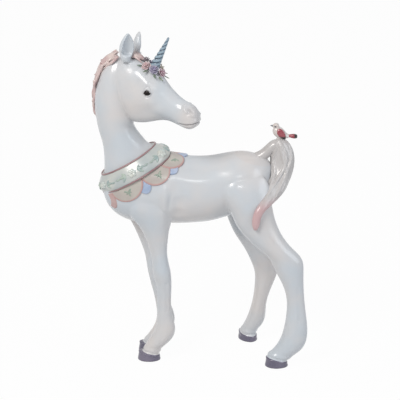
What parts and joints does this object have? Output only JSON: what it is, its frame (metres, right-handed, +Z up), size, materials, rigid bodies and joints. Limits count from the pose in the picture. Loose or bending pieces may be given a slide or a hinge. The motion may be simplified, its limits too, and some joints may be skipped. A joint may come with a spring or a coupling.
{
  "type": "unicorn figurine",
  "caption": "Standing foal figurine with a spiral horn, a wreath of blossoms, a wide collar with hanging lappets and a small bird perched on its tail.",
  "frame": {"origin": "on the floor, under the centre of the bounding box", "axes": "+Z up; the animal faces -X and its left side, which the head turns over, faces -Y"},
  "size_m": [0.1638, 0.0769, 0.2592],
  "materials": {
    "porcelain_white": "glossy white glaze",
    "porcelain_mane": "glossy glaze, dusty pink",
    "glaze_horn": "glossy glaze, slate blue",
    "glaze_collar": "glossy glaze, pale green",
    "glaze_piping": "glossy glaze, dusty rose brown",
    "glaze_lappet": "glossy glaze, cream",
    "glaze_under_lappet": "glossy glaze, pink",
    "glaze_blue": "glossy glaze, light blue",
    "glaze_plum": "glossy glaze, plum",
    "glaze_pink": "glossy glaze, pale pink",
    "glaze_violet": "glossy glaze, violet",
    "glaze_cream": "glossy glaze, cream",
    "glaze_leaf": "glossy glaze, leaf green",
    "glaze_wing": "glossy glaze, rose red",
    "glaze_bird_tail": "glossy glaze, pink"
  },
  "bodies": {
    "root": {"bird_body": "porcelain_white", "bird_tail": "glaze_bird_tail", "bird_wing_left": "glaze_wing", "bird_wing_right": "glaze_wing", "blossom_cream": "glaze_cream", "blossom_lilac": "glaze_violet", "blossom_pale_pink": "glaze_pink", "blossom_plum": "glaze_plum", "blossom_rose": "glaze_pink", "blossom_violet": "glaze_violet", "collar_band": "glaze_collar", "collar_piping_lower": "glaze_piping", "collar_piping_upper": "glaze_piping", "collar_rosettes": "glaze_collar", "ear_left": "porcelain_white", "ear_right": "porcelain_white", "fore_leg_left": "porcelain_white", "fore_leg_right": "porcelain_white", "forelock": "porcelain_mane", "head": "porcelain_white", "hind_leg_left": "porcelain_white", "hind_leg_right": "porcelain_white", "horn": "glaze_horn", "lappet_back_left": "glaze_lappet", "lappet_back_right": "glaze_lappet", "lappet_breast_left": "glaze_lappet", "lappet_breast_right": "glaze_lappet", "lappet_front": "glaze_lappet", "lappet_side_left": "glaze_lappet", "lappet_side_right": "glaze_lappet", "mane": "porcelain_mane", "neck": "porcelain_white", "tail": "porcelain_white", "torso": "porcelain_white", "under_lappets_breast": "glaze_under_lappet", "under_lappets_side": "glaze_blue", "wreath_leaves": "glaze_leaf"}
  },
  "joints": []
}
